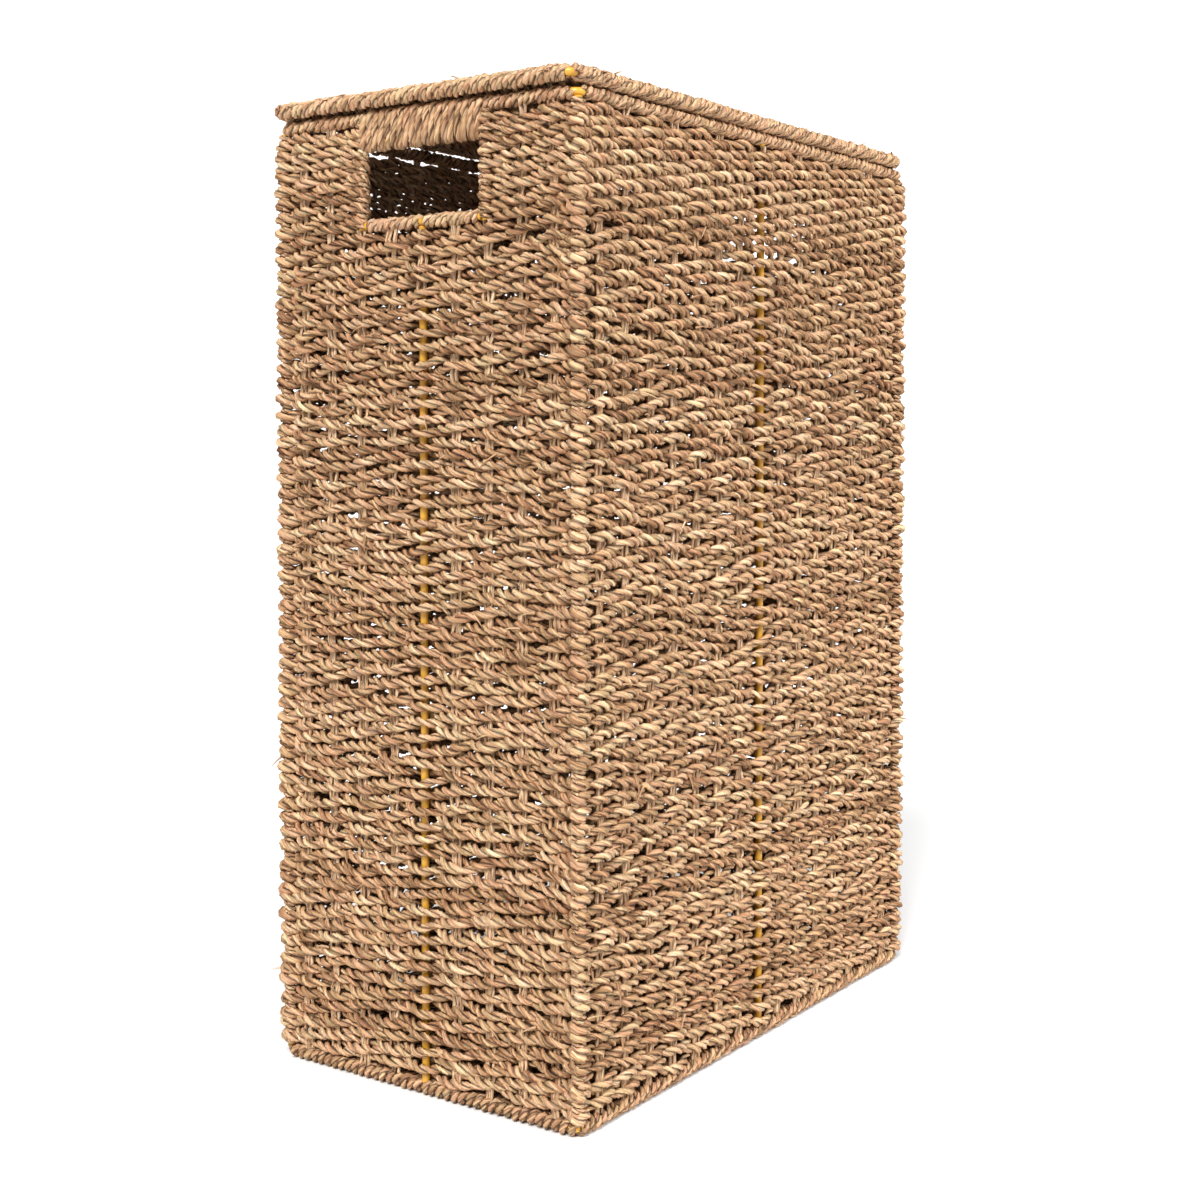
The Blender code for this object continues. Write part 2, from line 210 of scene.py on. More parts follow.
def seagrassFinish(name, look):
    material, tree = newFinish(name)
    grain = tree.add("ShaderNodeAttribute", {"attribute_name": "grain"}, out="Vector")
    tone = tree.add("ShaderNodeAttribute", {"attribute_name": "tone"}, out="Fac")
    shift = tree.xyz(tone * 31.0, tone * 57.0, tone * 13.0)

    def noise(stretch, detail, roughness=0.6):
        place = tree.vector("ADD", tree.vector("MULTIPLY", grain, stretch), shift)
        values = {"Vector": place, "Scale": 1.0, "Detail": detail, "Roughness": roughness}
        return tree.add("ShaderNodeTexNoise", None, values, out="Fac")

    patches = noise((1.2, 1.2, 52.0), 3.0)          # leaf by leaf, a centimetre or two long
    hues = noise((0.6, 0.6, 16.0), 1.0)
    streaks = noise((3.1, 3.1, 48.0), 3.0, 0.65)     # fibres along each ply
    fine = noise((11.0, 11.0, 160.0), 2.0, 0.6)
    ramp = tree.add("ShaderNodeValToRGB", None, {"Fac": patches + (tone - 0.5) * look["rowContrast"]})
    stops = ramp.socket.node.color_ramp.elements
    while len(stops) < len(look["tones"]):
        stops.new(0.5)
    for stop, (place, color) in zip(stops, look["tones"]):
        stop.position = place
        stop.color = (*color, 1.0)
    hue = tree.mixColor((hues - 0.36) * 3.4, look["pink"], look["green"])
    leaf = tree.mixColor(look["hueShare"], ramp, hue, "MULTIPLY")
    fibre = tree.add("ShaderNodeMapRange", None,
                     {"Value": streaks, "From Min": 0.36, "From Max": 0.60,
                      "To Min": look["fibreDark"], "To Max": look["fibreLight"]})
    # painted shade: the colour darkens towards the groove between the two plies, where shade falls
    sideways = tree.maths("ABSOLUTE", tree.add("ShaderNodeSeparateXYZ", None, {0: grain}, out="X"))
    paintedGrooveShade = tree.add("ShaderNodeMapRange", None,
                      {"Value": sideways, "From Min": 0.02, "From Max": look["paintedGrooveShadeWidth"],
                       "To Min": look["paintedGrooveShadeDark"], "To Max": 1.0})
    color = tree.vector("SCALE", leaf, scale=fibre * paintedGrooveShade)
    height = streaks * 0.7 + fine * 0.3
    bump = tree.add("ShaderNodeBump", None,
                    {"Strength": look["bump"], "Distance": 0.0006, "Height": height})
    closeFinish(tree, {"color": color, "roughness": look["roughness"] + (streaks - 0.5) * 0.4},
                {"Specular IOR Level": look["shine"]}, bump)
    return material


seagrassLook = {
    "tones": [(0.25, (0.150, 0.072, 0.032)), (0.38, (0.430, 0.250, 0.132)), (0.50, (0.590, 0.385, 0.222)),
              (0.62, (0.720, 0.510, 0.315)), (0.76, (0.840, 0.670, 0.460))],
    "pink": (1.05, 0.91, 0.94, 1.0),
    "green": (0.98, 1.01, 0.94, 1.0),
    "hueShare": 0.8,
    # painted shade in the grooves between the plies: how far it reaches and how dark it gets
    "paintedGrooveShadeWidth": 0.42,
    "paintedGrooveShadeDark": 0.16,
    "rowContrast": 0.20,
    "fibreDark": 0.50,
    "fibreLight": 1.12,
    "bump": 0.9,
    "roughness": 0.62,
    "shine": 0.35,
}
# the stakes are paler strands; their tones are raised further as painted light against the shade of their
# recesses, and the painted shade in their grooves is weaker
stakeLook = {**seagrassLook, "paintedGrooveShadeDark": 0.45, "green": (1.02, 0.98, 0.90, 1.0),
             "tones": [(0.25, (0.470, 0.300, 0.165)), (0.45, (0.740, 0.530, 0.330)),
                       (0.62, (0.850, 0.660, 0.445)), (0.80, (0.920, 0.760, 0.560))]}
windingLook = {**seagrassLook, "tones": [(0.22, (0.220, 0.118, 0.058)), (0.40, (0.500, 0.310, 0.175)),
                                         (0.54, (0.660, 0.450, 0.275)), (0.78, (0.820, 0.630, 0.430))]}
# near-black tones: painted shade, for the sleeve under the windings
paintedShadeLook = {**seagrassLook, "tones": [(0.25, (0.070, 0.036, 0.017)), (0.60, (0.210, 0.120, 0.062))]}
lacquerLook = {"color": (0.62, 0.335, 0.040, 1.0), "worn": (0.40, 0.200, 0.035, 1.0), "roughness": 0.38}


def lacquerFinish(name, look):
    material, tree = newFinish(name)
    place = tree.add("ShaderNodeTexCoord", None, None, out="Object")
    cloudy = {"Vector": place, "Scale": 90.0, "Detail": 4.0}
    clouds = tree.add("ShaderNodeTexNoise", None, cloudy, out="Fac")
    specked = {"Vector": place, "Scale": 900.0, "Detail": 2.0}
    specks = tree.add("ShaderNodeTexNoise", None, specked, out="Fac")
    color = tree.mixColor((clouds - 0.52) * 4.0, look["color"], look["worn"])
    bump = tree.add("ShaderNodeBump", None, {"Strength": 0.25, "Distance": 0.0003, "Height": specks})
    closeFinish(tree, {"color": color, "roughness": look["roughness"] + (clouds - 0.5) * 0.3},
                {"Metallic": 0.0, "Coat Weight": 0.25, "Coat Roughness": 0.2}, bump)
    return material


seagrass = seagrassFinish("seagrassRope", seagrassLook)
paleSeagrass = seagrassFinish("seagrassStake", stakeLook)
windingGrass = seagrassFinish("seagrassWinding", windingLook)
paintedShadeGrass = seagrassFinish("seagrassPaintedShade", paintedShadeLook)
lacquer = lacquerFinish("lacqueredRod", lacquerLook)
print("finishes made")


def sweepRope(tree, given, line):
    # lays two plies along a line that already has its points, and stores where each point lies on them
    length = tree.add("GeometryNodeSplineLength")
    spot = tree.add("GeometryNodeSplineParameter")
    turns = tree.maths("ROUND", length / given.out("Lay length"))
    upright = tree.add("GeometryNodeSetCurveNormal", None, {"Curve": line})
    tone = tree.add("GeometryNodeInputNamedAttribute", {"data_type": "FLOAT"}, {"Name": "tone"})
    own = given.out("Seed") + tone * 40.0
    drift = tree.add("ShaderNodeTexNoise", {"noise_dimensions": "4D"},
                     {"W": own + 5.0, "Scale": 32.0, "Detail": 0.0}, out="Fac")
    tilt = spot.out("Factor") * turns * (2 * math.pi) + (drift - 0.5) * given.out("Twist drift")
    twisted = tree.add("GeometryNodeSetCurveTilt", None, {"Curve": upright, "Tilt": tilt})
    captured = tree.add("GeometryNodeCaptureAttribute", {"domain": "POINT"})
    holder = captured.socket.node
    holder.capture_items.new("FLOAT", "along")
    tree.nodeTree.links.new(twisted.socket, holder.inputs["Geometry"])
    tree.nodeTree.links.new(spot.out("Length").socket, holder.inputs["along"])
    place = tree.add("GeometryNodeInputPosition")
    swell = tree.add("ShaderNodeTexNoise", {"noise_dimensions": "4D"},
                     {"Vector": place, "W": own, "Scale": given.out("Lumps"), "Detail": 1.0}, out="Fac")
    plump = tree.add("GeometryNodeInputNamedAttribute", {"data_type": "FLOAT"}, {"Name": "plump"})
    size = given.out("Thickness") * 0.5 * ((swell - 0.5) * given.out("Unevenness") + 1.0) * plump
    ring = tree.add("GeometryNodeCurvePrimitiveCircle", {"mode": "RADIUS"},
                    {"Resolution": given.out("Sides"), "Radius": 1.0})
    ringPlace = tree.add("GeometryNodeInputPosition")
    ringCaptured = tree.add("GeometryNodeCaptureAttribute", {"domain": "POINT"})
    ringHolder = ringCaptured.socket.node
    ringHolder.capture_items.new("VECTOR", "around")
    tree.nodeTree.links.new(ring.socket, ringHolder.inputs["Geometry"])
    tree.nodeTree.links.new(ringPlace.socket, ringHolder.inputs["around"])
    split = tree.add("ShaderNodeSeparateXYZ", None, {0: ringPlace}, out="X")  # 1 at a ply, 0 in the groove
    waist = 1.0 - given.out("Groove") * (1.0 - tree.maths("ABSOLUTE", split) ** 0.9)
    lobed = tree.add("GeometryNodeSetPosition", None,
                     {"Geometry": ringCaptured, "Position": tree.vector("SCALE", ringPlace, scale=waist)})
    swept = tree.add("GeometryNodeCurveToMesh", None,
                     {"Curve": captured, "Profile Curve": lobed, "Scale": size, "Fill Caps": True})
    around = tree.add("ShaderNodeSeparateXYZ", None, {0: ringCaptured.out("around")}, out="X")
    grain = tree.xyz(around, around.out("Y"), captured.out("along"))
    return tree.add("GeometryNodeStoreNamedAttribute", {"data_type": "FLOAT_VECTOR", "domain": "POINT"},
                    {"Geometry": swept, "Name": "grain", "Value": grain})


ropeSockets = {
    "Thickness": ("Float", 0.0046), "Lay length": ("Float", 0.020), "Groove": ("Float", 0.6),
    "Sides": ("Int", 8), "Step": ("Float", 0.0025), "Unevenness": ("Float", 0.3), "Lumps": ("Float", 90.0),
    "Twist drift": ("Float", 5.0), "Seed": ("Float", 0.0), "Material": ("Material", None),
}


def laidRopeShape():
    tree, given = newShape("laidRope", ropeSockets)
    line = tree.add("GeometryNodeMeshToCurve", None, {"Mesh": given.out("Geometry")})
    curved = tree.add("GeometryNodeCurveSplineType", {"spline_type": "CATMULL_ROM"}, {"Curve": line})
    stepped = tree.add("GeometryNodeResampleCurve", {"mode": "LENGTH"},
                       {"Curve": curved, "Length": given.out("Step")})
    return closeShape(tree, given, sweepRope(tree, given, stepped))


def windingShape():
    # rope wound round a rod, or with a height round two rods one above the other
    tree, given = newShape("winding", {**ropeSockets, "Turn pitch": ("Float", 0.003),
                                       "Wound radius": ("Float", 0.004), "Half height": ("Float", 0.0),
                                       "Looseness": ("Float", 0.0004), "Hand": ("Float", -1.0)})
    line = tree.add("GeometryNodeMeshToCurve", None, {"Mesh": given.out("Geometry")})
    length = tree.add("GeometryNodeSplineLength")
    turns = tree.maths("ROUND", length / given.out("Turn pitch"))
    around = (given.out("Wound radius") * (2 * math.pi) + given.out("Half height") * 4.0)
    count = turns * tree.maths("CEIL", around / given.out("Step"))
    stepped = tree.add("GeometryNodeResampleCurve", {"mode": "COUNT"}, {"Curve": line, "Count": count})
    held = tree.add("GeometryNodeSetCurveNormal", {"mode": "Z_UP"}, {"Curve": stepped})
    spot = tree.add("GeometryNodeSplineParameter")
    # the steps keep their number, so the turn is read from how far along the line each point is
    angle = spot.out("Length") / given.out("Turn pitch") * (2 * math.pi) * given.out("Hand")
    normal = tree.add("GeometryNodeInputNormal")
    tangent = tree.add("GeometryNodeInputTangent")
    rise = tree.vector("CROSS_PRODUCT", tangent, normal)
    place = tree.add("GeometryNodeInputPosition")
    loose = tree.add("ShaderNodeTexNoise", {"noise_dimensions": "4D"},
                     {"Vector": place, "W": given.out("Seed"), "Scale": 260.0, "Detail": 1.0})
    reach = given.out("Wound radius") + (loose.out("Fac") - 0.5) * 2.0 * given.out("Looseness")
    slide = tree.vector("SCALE", tree.vector("SUBTRACT", loose.out("Color"), (0.5, 0.5, 0.5)),
                        scale=given.out("Looseness") * 3.0)
    lift = tree.maths("MINIMUM", tree.maths("MAXIMUM", tree.maths("SINE", angle) * 1.8, -1.0), 1.0)
    offset = tree.vector("ADD", tree.vector("SCALE", normal, scale=reach * tree.maths("COSINE", angle)),
                         tree.vector("SCALE", rise, scale=reach * tree.maths("SINE", angle)
                                     + lift * given.out("Half height")))
    wound = tree.add("GeometryNodeSetPosition", None,
                     {"Geometry": held, "Offset": tree.vector("ADD", offset, slide)})
    return closeShape(tree, given, sweepRope(tree, given, wound))


def rodShape():
    tree, given = newShape("rod", {"Thickness": ("Float", 0.005), "Sides": ("Int", 14),
                                   "Material": ("Material", None)})
    line = tree.add("GeometryNodeMeshToCurve", None, {"Mesh": given.out("Geometry")})
    ring = tree.add("GeometryNodeCurvePrimitiveCircle", {"mode": "RADIUS"},
                    {"Resolution": given.out("Sides"), "Radius": given.out("Thickness") * 0.5})
    swept = tree.add("GeometryNodeCurveToMesh", None,
                     {"Curve": line, "Profile Curve": ring, "Fill Caps": True})
    return closeShape(tree, given, swept)


laidRope = laidRopeShape()
winding = windingShape()
rod = rodShape()
print("shapes made")


def centre(node):
    low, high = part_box(node)
    return (low + high) / 2


def span(node):
    low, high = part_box(node)
    return high - low


rodRadius = span("upright_front").x / 2
postX = centre("corner_post_front_right").x
postY = centre("corner_post_back_right").y
wallBottom = min(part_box("weave_front")[0].z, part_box("weave_left")[0].z)
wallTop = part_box("weave_front")[1].z
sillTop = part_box("sill_binding_left")[1].z
sillRod = centre("hand_hole_sill_rail_left").z
jambY = abs(centre("hand_hole_jamb_left_front").y)
hingeX = abs(centre("hinge_loop_right").x)

weave = {
    "ropeThickness": 0.0065,
    "rowPitch": 0.00439,
    "lay": 0.020,
    "stakePitchLong": 0.0263,
    "stakesEnd": (-0.098, -0.075, -0.050, -0.025, 0.0, 0.025, 0.050, 0.075, 0.098),
    "turnAt": 0.050,            # the stake on an end wall where the rows beside the hand hole turn back
    "sillDip": 0.0034,          # how far the rows sag under a hand hole
    "hingeDip": 0.0024,         # and under a rope hinge
    "swing": 0.0031,            # rope's centre line from the wall's middle at a stake
    "rowWander": 0.0015,        # rows together
    "ownWander": 0.0009,        # each row by itself
    "jitter": 0.0007,
    "postReach": 0.0012,        # from a post's face to the rope's centre line, then from a jamb's
    "jambReach": 0.0006,
    "atPost": 1.28,             # how plump the rope lies where it bends round a post, then a jamb
    "atJamb": 1.0,
    "jambGive": 0.0012,         # how far the turns round a jamb are pulled away from the hand hole
    "leanAtTop": 0.012,         # the rows this near the rim stay slim at the posts, clear of the lid
    "overStake": 1.13,
    "betweenStakes": 0.93,
    "besidePost": {"long": 0.72, "end": 0.84},
    "packedRows": 6,            # rows pushed closer together under the rim
    "packing": 0.70,
    "rowsPerPiece": 18,
}


def stations():
    # every place where the rows pass a stake, rod or post, anticlockwise from the front left corner
    found = []
    longOffsets = [weave["stakePitchLong"] * i for i in range(-7, 8)]
    walls = ((Vector((0, -1, 0)), Vector((1, 0, 0)), postY, longOffsets, postX),
             (Vector((1, 0, 0)), Vector((0, 1, 0)), postX, weave["stakesEnd"], postY),
             (Vector((0, 1, 0)), Vector((-1, 0, 0)), postY, longOffsets, postX),
             (Vector((-1, 0, 0)), Vector((0, -1, 0)), postX, weave["stakesEnd"], postY))
    for out, ahead, depth, offsets, half in walls:
        found.append({"kind": "post", "at": out * depth - ahead * half, "out": out, "ahead": ahead})
        for offset in offsets:
            kind = "rod" if offset == 0 else "stake"
            found.append({"kind": kind, "at": out * depth + ahead * offset, "out": out, "ahead": ahead})
    return found


allStations = stations()
wander = [(chance.uniform(1.5, 9), chance.uniform(2, 9), chance.random()) for i in range(5)]


def rowHeight(z, s):
    # rows drift up and down together, and settle level at the base and the rim
    share = (z - wallBottom) / (wallTop - wallBottom)
    level = math.sin(math.pi * min(max(share, 0.0), 1.0)) ** 0.5 if 0 < share < 1 else 0.0
    drift = sum(math.sin(2 * math.pi * (s * a + z * b + c)) for a, b, c in wander) / 2.2
    return z + weave["rowWander"] * level * drift


def dip(z, station):
    # rows close up under the sills
    along = abs(station["at"].y)
    if abs(station["out"].x) < 0.5 or along > 0.075 or z > sillTop:
        return 0.0
    near = min(max((z - 0.43) / (sillRod - 0.43), 0.0), 1.0)
    return -weave["sillDip"] * near * near * (3 - 2 * near) * min(1.0, (0.075 - along) / 0.02)


def hingeDip(z, point):
    # the top rows leave room for the rope hinges
    near = 1 - abs(abs(point.x) - hingeX) / 0.02
    high = (z - wallTop) / 0.02 + 1
    return -weave["hingeDip"] * near * high if point.y > 0 and near > 0 and high > 0 else 0.0


def plumper(point, plump):
    return (point.x, point.y, point.z, plump)


def passStation(station, side, z, points):
    grip = rodRadius + weave["ropeThickness"] * 0.42
    wobble = chance.gauss(0, weave["jitter"])
    level = Vector((0, 0, z + hingeDip(z, station["at"]) + chance.gauss(0, weave["jitter"])))
    if station["kind"] == "post":
        before = -station["ahead"]
        diagonal = (station["out"] + before).normalized()
        if side > 0:
            plump = 1.0 if z > wallTop - weave["leanAtTop"] else weave["atPost"]
            for turn in (-40, 0, 40):
                angle = math.radians(turn)
                across = (station["out"] - before).normalized()
                reach = rodRadius + weave["postReach"]
                reach = (diagonal * math.cos(angle) + across * math.sin(angle)) * reach
                points.append(plumper(station["at"] + level + reach, plump))
        else:
            points.append(station["at"] + level - diagonal * (grip + wobble))
        return
    reach = grip if station["kind"] == "rod" else weave["swing"] + wobble
    points.append(plumper(station["at"] + level + station["out"] * side * reach,
                          weave["overStake"] if side > 0 and station["kind"] == "stake" else 1.0))


def ownWander():
    waves = [(chance.uniform(8, 22), chance.random()) for i in range(3)]
    return lambda s: weave["ownWander"] * sum(math.sin(2 * math.pi * (s * a + b)) for a, b in waves)


def closedRow(index, z):
    points, s = [], 0.0
    own = ownWander()
    for number, station in enumerate(allStations):
        side = 1 if (number + index) % 2 == 0 else -1
        following = allStations[(number + 1) % len(allStations)]
        passStation(station, side, rowHeight(z, s) + own(s) + dip(z, station), points)
        step = (following["at"] - station["at"])
        middle = station["at"] + step * 0.5
        if step.length > 0.02:
            height = (rowHeight(z, s + step.length / 2) + own(s + step.length / 2)
                      + (dip(z, station) + dip(z, following)) / 2 + hingeDip(z, middle))
            plump = weave["betweenStakes"]
            if station["kind"] == "post" or following["kind"] == "post":
                plump = weave["besidePost"]["long" if abs(step.x) > abs(step.y) else "end"]
            points.append((middle.x, middle.y, height + chance.gauss(0, weave["jitter"] * 0.6), plump))
        s += step.length
    return points, True, chance.random()


def turnRound(station, side, toward, low, high, points):
    # the row turns round a jamb and goes back as the next row
    reach = rodRadius + weave["jambReach"]
    jamb = Vector((station["at"].x, math.copysign(jambY + weave["jambGive"], station["at"].y), 0))
    for degrees in (0, 45, 90, 135, 180):
        angle = math.radians(degrees)
        level = low + (high - low) * degrees / 180
        points.append(plumper(jamb + station["out"] * side * math.cos(angle) * reach
                              + toward * math.sin(angle) * reach + Vector((0, 0, level)), weave["atJamb"]))


def openRows(index, z, upper, group):
    # two rows beside the hand holes, joined at both ends
    points = []
    toward = group[-1]["ahead"]
    rows = ((index, z, group, 1), (index + 1, upper, group[::-1], -1))
    for number, level, order, way in rows:
        for place, station in enumerate(order):
            side = 1 if (allStations.index(station) + number) % 2 == 0 else -1
            if place == 0:
                continue
            if place == len(order) - 1:
                ahead = station["ahead"] * way
                turnRound(station, side, ahead, level, upper if way > 0 else z, points)
                continue
            passStation(station, side, level, points)
            following = order[place + 1]
            step = following["at"] - station["at"]
            if step.length > 0.02 and place + 1 < len(order) - 1:
                middle = station["at"] + step * 0.5
                height = level + hingeDip(level, middle)
                points.append((middle.x, middle.y, height, weave["betweenStakes"]))
    return points, True, chance.random()


def besideHole(end, depth):
    # the number of the stake where the rows turn back at a hand hole
    y = depth * weave["turnAt"]
    return next(i for i, s in enumerate(allStations)
                if s["out"].x * end > 0.5 and abs(s["at"].y - y) < 0.001)


def sideRows():
    first = wallBottom + weave["ropeThickness"] / 2
    last = wallTop - weave["ropeThickness"] / 2
    gaps = round((last - first) / weave["rowPitch"]) + 2
    gaps += 1 - gaps % 2
    shares = [1.0] * (gaps - weave["packedRows"]) + [weave["packing"]] * weave["packedRows"]
    pitch = (last - first) / sum(shares)
    levels = [first + pitch * sum(shares[:i]) for i in range(gaps + 1)]
    whole = sum(1 for z in levels if z < sillRod - 0.001)
    whole -= whole % 2
    rows = [closedRow(i, z) for i, z in enumerate(levels[:whole])]
    count = len(allStations)
    front = [allStations[i % count] for i in range(besideHole(-1, -1), besideHole(1, -1) + count + 1)]
    back = [allStations[i] for i in range(besideHole(1, 1), besideHole(-1, 1) + 1)]
    upper = []
    for i in range(whole, gaps + 1, 2):
        upper.append(openRows(i, levels[i], levels[i + 1], front))
        upper.append(openRows(i, levels[i], levels[i + 1], back))
    print("rows", gaps + 1, "whole", whole, "pitch", pitch)
    return rows, upper


ropeValues = {"Thickness": weave["ropeThickness"], "Lay length": weave["lay"], "Groove": 0.66, "Sides": 8,
              "Step": 0.0024, "Unevenness": 0.62, "Lumps": 75.0, "Material": seagrass}
wholeRows, upperRows = sideRows()
wallNodes = ["weave_front", "weave_back"]
wallNodes += [f"weave_{end}{part}" for end in ("left", "right") for part in ("", "_front", "_back")]
postBindings = [f"corner_binding_{depth}_{end}" for depth in ("front", "back") for end in ("left", "right")]
bands = []
perPiece = math.ceil(len(wholeRows) / math.ceil(len(wholeRows) / weave["rowsPerPiece"]))
for start in range(0, len(wholeRows), perPiece):
    bands.append(wholeRows[start:start + perPiece])
bands.append(upperRows)
for number, rows in enumerate(bands):
    band = grow(f"sideWeave{number + 1}", rows, laidRope, {**ropeValues, "Seed": float(number)})
    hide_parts(*wallNodes, *postBindings)
    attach(band, "basket")

print("side weave done")

stake = {"strands": 3, "strandThickness": 0.0029, "gap": 0.0023, "wave": 0.0008, "overUpright": 0.036}


def stakeRuns(base, top, across, out, runs, points=9, wrap=0.0):
    for strand in range(stake["strands"]):
        place = strand - (stake["strands"] - 1) / 2
        offset = across * stake["gap"] * place - out * wrap * place * place
        run = []
        for i in range(points):
            shift = across * chance.gauss(0, stake["wave"]) + out * chance.gauss(0, stake["wave"] * 0.6)
            run.append(base.lerp(top, i / (points - 1)) + offset + shift)
        runs.append((run, False, chance.random()))


wallStakes, uprightHeads = [], []
for station in allStations:
    atHole = abs(station["out"].x) > 0.5 and abs(station["at"].y) < 0.06
    head = station["at"] + Vector((0, 0, sillRod - 0.002 if atHole else wallTop + 0.003))
    if station["kind"] == "stake":
        foot = station["at"] + Vector((0, 0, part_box("base_ring")[1].z - 0.001))
        stakeRuns(foot, head, station["ahead"], station["out"], wallStakes, 64)
    if station["kind"] == "rod":
        # strands that hide the head of an upright
        head -= Vector((0, 0, 0.003))
        foot = head - Vector((0, 0, stake["overUpright"]))
        uprightHeads.append(([foot, foot.lerp(head, 0.5), head], False, 0.5))
        front = station["out"] * (rodRadius + 0.0010)
        stakeRuns(foot + front, head + front, station["ahead"], station["out"], wallStakes, 6, 0.0021)
stakeValues = {"Thickness": stake["strandThickness"], "Lay length": 0.05, "Groove": 0.25, "Sides": 6,
               "Step": 0.0075, "Unevenness": 0.4, "Lumps": 60.0, "Material": paleSeagrass}
stakes = grow("wallStakes", wallStakes, laidRope, stakeValues)
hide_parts(*wallNodes)
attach(stakes, "basket")


panel = {"rowPitch": 0.0045, "lay": 0.021, "inset": 0.0035, "lidSwing": 0.0032, "lidThickness": 0.0062,
         "baseSwing": 0.0028, "baseThickness": 0.0052, "baseLevel": 0.0064}


def wovenPanel(name, low, high, level, barX, barOver, body, nodes, swing, thickness):
    first, last = low.y + 0.002, high.y - 0.002
    gaps = round((last - first) / panel["rowPitch"])
    gaps += 1 - gaps % 2
    pitch = (last - first) / gaps
    marks = [weave["stakePitchLong"] * i + barX for i in range(-7, 8)]
    runs = []
    for row in range(0, gaps + 1, 2):
        points = []
        for step, order in ((0, marks), (1, marks[::-1])):
            y = first + pitch * (row + step)
            for place, x in enumerate(order):
                number = marks.index(x)
                side = 1 if (number + row + step) % 2 == 0 else -1
                reach = swing
                if abs(x - barX) < 1e-6:
                    reach = rodRadius + weave["ropeThickness"] * 0.45
                    if barOver:
                        side = 1
                lift = side * reach + chance.gauss(0, 0.0002)
                points.append(Vector((x, y + chance.gauss(0, 0.0003), level + lift)))
                if place < len(order) - 1:
                    raised = reach * 0.5 if barOver and abs(x - barX) < 1e-6 else 0.0
                    points.append(Vector(((x + order[place + 1]) / 2, y + chance.gauss(0, 0.0003),
                                          level + raised)))
            end = high.x if step == 0 else low.x
            way = 1 if step == 0 else -1
            for share, turn in ((0.0, -1.0), (0.7, -0.7), (1.0, 0.0), (0.7, 0.7), (0.0, 1.0)):
                points.append(Vector((end - way * pitch * (1.0 - share) / 2, first + pitch * (row + 0.5)
                                      + way * turn * pitch / 2, level)))
        runs.append((points, True, chance.random()))
    piece = grow(name, runs, laidRope, {**ropeValues, "Seed": 20.0 + len(runs), "Lay length": panel["lay"],
                                        "Thickness": thickness})
    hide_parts(*nodes)
    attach(piece, body)
    strands = []
    for x in marks:
        if abs(x - barX) > 1e-6:
            stakeRuns(Vector((x, low.y, level)), Vector((x, high.y, level)), Vector((1, 0, 0)),
                      Vector((0, 0, 1)), strands, 16)
    cross = grow(name + "Stakes", strands, laidRope, stakeValues)
    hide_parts(*nodes)
    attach(cross, body)


lidRod = centre("lid_ring")
lidLow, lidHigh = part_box("lid_ring")
baseLow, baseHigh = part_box("base_ring")
inward = Vector((rodRadius + panel["inset"], rodRadius + panel["inset"] + 0.001, 0))
wovenPanel("lidWeave", lidLow + inward, lidHigh - inward, lidRod.z, centre("lid_cross_bar").x, False,
           "lid", ["weave_lid"], panel["lidSwing"], panel["lidThickness"])
wovenPanel("baseWeave", baseLow + inward, baseHigh - inward, panel["baseLevel"],
           centre("base_cross_bar").x, True, "basket", ["weave_base"], panel["baseSwing"],
           panel["baseThickness"])
print("panels done")


def ringPoints(low, high, level, bend, steps=5):
    # a ring's centre line inside the box from low to high, anticlockwise from the middle of the front
    inner = Vector((low.x + rodRadius + bend, low.y + rodRadius + bend))
    outer = Vector((high.x - rodRadius - bend, high.y - rodRadius - bend))
    points = [Vector(((low.x + high.x) / 2, low.y + rodRadius, level))]
    corners = ((outer.x, inner.y, -90), (outer.x, outer.y, 0),
               (inner.x, outer.y, 90), (inner.x, inner.y, 180))
    for x, y, begin in corners:
        for i in range(steps + 1):
            angle = math.radians(begin + 90 * i / steps)
            points.append(Vector((x + bend * math.cos(angle), y + bend * math.sin(angle), level)))
    return points


cornerBend = 0.005
baseRing = ringPoints(baseLow, baseHigh, centre("base_ring").z, cornerBend)
rimLow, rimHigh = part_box("rim_ring")
rimRing = ringPoints(rimLow, rimHigh, centre("rim_ring").z, cornerBend)
lidRing = ringPoints(lidLow, lidHigh, centre("lid_ring").z, cornerBend)


def straight(node, axis):
    low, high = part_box(node)
    mid = (low + high) / 2
    ends = [mid.copy(), mid.copy()]
    ends[0][axis], ends[1][axis] = low[axis], high[axis]
    return ends, False, 0.5


uprights = ["upright_front", "upright_back", "upright_left", "upright_right"]
posts = [f"corner_post_{depth}_{end}" for depth in ("front", "back") for end in ("left", "right")]
jambs = [f"hand_hole_jamb_{end}_{depth}" for depth in ("front", "back") for end in ("left", "right")]
rails = [f"{kind}_{end}" for kind in ("hand_hole_sill_rail", "grip_rail") for end in ("left", "right")]
runs = [(baseRing, True, 0.5), (rimRing, True, 0.5), straight("base_cross_bar", 1)]
runs += [straight(node, 2) for node in uprights + posts + jambs] + [straight(node, 1) for node in rails]
rodValues = {"Thickness": rodRadius * 2, "Sides": 14, "Material": lacquer}
frameRods = grow("frameRods", runs, rod, rodValues)
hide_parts("base_ring", "rim_ring", "base_cross_bar", *uprights, *posts, *jambs, *rails)
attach(frameRods, "basket")
lidRods = grow("lidRods", [(lidRing, True, 0.5), straight("lid_cross_bar", 1)], rod, rodValues)
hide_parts("lid_ring", "lid_cross_bar")
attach(lidRods, "lid")
print("rods done")

edging = {"strandThickness": 0.0056, "lidPitch": 0.0048, "rimPitch": 0.0043, "basePitch": 0.0058,
          "sillPitch": 0.0046, "lay": 0.0175, "gapAtHinge": 0.0030, "bareSill": 0.0016,
          "bareLid": 0.0026, "bareRim": 0.0030, "baseThickness": 0.0051, "baseWound": 0.0025}


def dense(points, closed, step=0.003):
    # more points on the straight runs, so that a winding can start and stop anywhere
    made = []
    pairs = list(zip(points, points[1:] + (points[:1] if closed else [])))
    for a, b in pairs if closed else pairs:
        count = max(1, round((b - a).length / step))
        made += [a.lerp(b, i / count) for i in range(count)]
    return made + ([] if closed else [points[-1]])


